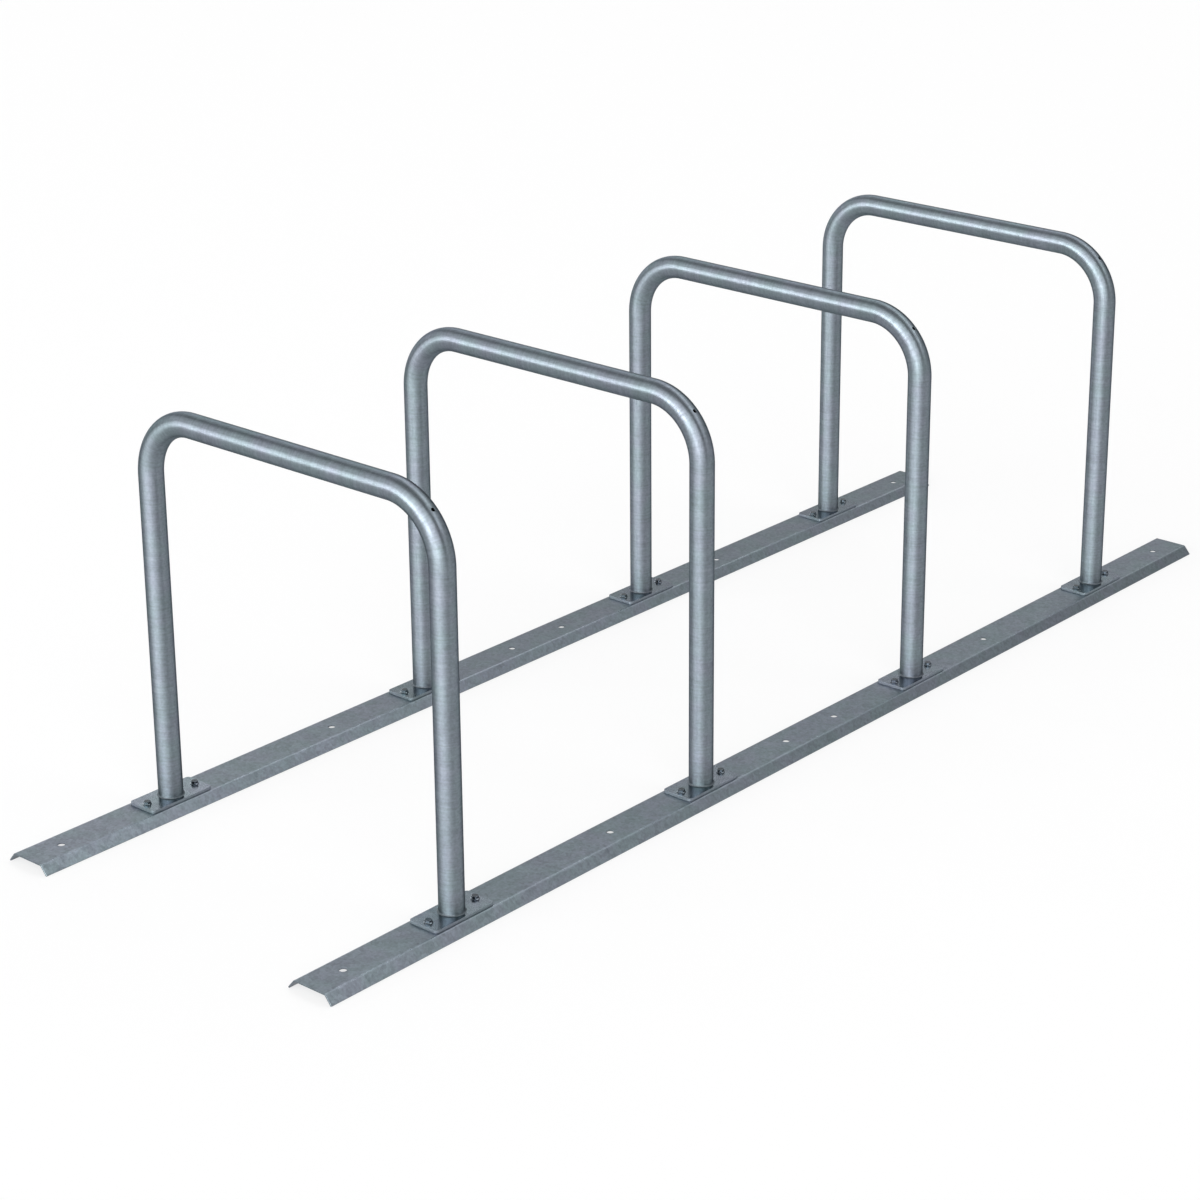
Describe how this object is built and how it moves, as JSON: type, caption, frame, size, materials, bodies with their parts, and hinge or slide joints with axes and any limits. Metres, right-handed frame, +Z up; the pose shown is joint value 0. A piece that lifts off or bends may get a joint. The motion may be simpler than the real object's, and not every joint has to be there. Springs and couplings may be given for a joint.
{
  "type": "floor bike rack",
  "caption": "Floor bike rack: bent tube hoops welded to base plates and bolted across parallel folded steel rails with ground-anchor holes.",
  "frame": {"origin": "on the floor under the middle of the rack", "axes": "+Y along the rails, +X across them in the plane of the hoops towards the bends with the vents, +Z up"},
  "size_m": [0.8586, 2.8, 0.826],
  "materials": {
    "tube": "hot-dip galvanised, smooth satin with fine streaks",
    "rail": "hot-dip galvanised, dull and lightly mottled",
    "plate": "hot-dip galvanised, glossy",
    "weld": "galvanised weld bead",
    "fastener": "galvanised, dark and slightly rough"
  },
  "bodies": {
    "root": {"rail_left": "rail", "rail_right": "rail", "hoop_1": "tube", "base_plate_1_left": "plate", "weld_1_left": "weld", "bolt_1_left_front": "fastener", "nut_1_left_front": "fastener", "bolt_1_left_rear": "fastener", "nut_1_left_rear": "fastener", "base_plate_1_right": "plate", "weld_1_right": "weld", "bolt_1_right_front": "fastener", "nut_1_right_front": "fastener", "bolt_1_right_rear": "fastener", "nut_1_right_rear": "fastener", "hoop_2": "tube", "base_plate_2_left": "plate", "weld_2_left": "weld", "bolt_2_left_front": "fastener", "nut_2_left_front": "fastener", "bolt_2_left_rear": "fastener", "nut_2_left_rear": "fastener", "base_plate_2_right": "plate", "weld_2_right": "weld", "bolt_2_right_front": "fastener", "nut_2_right_front": "fastener", "bolt_2_right_rear": "fastener", "nut_2_right_rear": "fastener", "hoop_3": "tube", "base_plate_3_left": "plate", "weld_3_left": "weld", "bolt_3_left_front": "fastener", "nut_3_left_front": "fastener", "bolt_3_left_rear": "fastener", "nut_3_left_rear": "fastener", "base_plate_3_right": "plate", "weld_3_right": "weld", "bolt_3_right_front": "fastener", "nut_3_right_front": "fastener", "bolt_3_right_rear": "fastener", "nut_3_right_rear": "fastener", "hoop_4": "tube", "base_plate_4_left": "plate", "weld_4_left": "weld", "bolt_4_left_front": "fastener", "nut_4_left_front": "fastener", "bolt_4_left_rear": "fastener", "nut_4_left_rear": "fastener", "base_plate_4_right": "plate", "weld_4_right": "weld", "bolt_4_right_front": "fastener", "nut_4_right_front": "fastener", "bolt_4_right_rear": "fastener", "nut_4_right_rear": "fastener"}
  },
  "joints": []
}
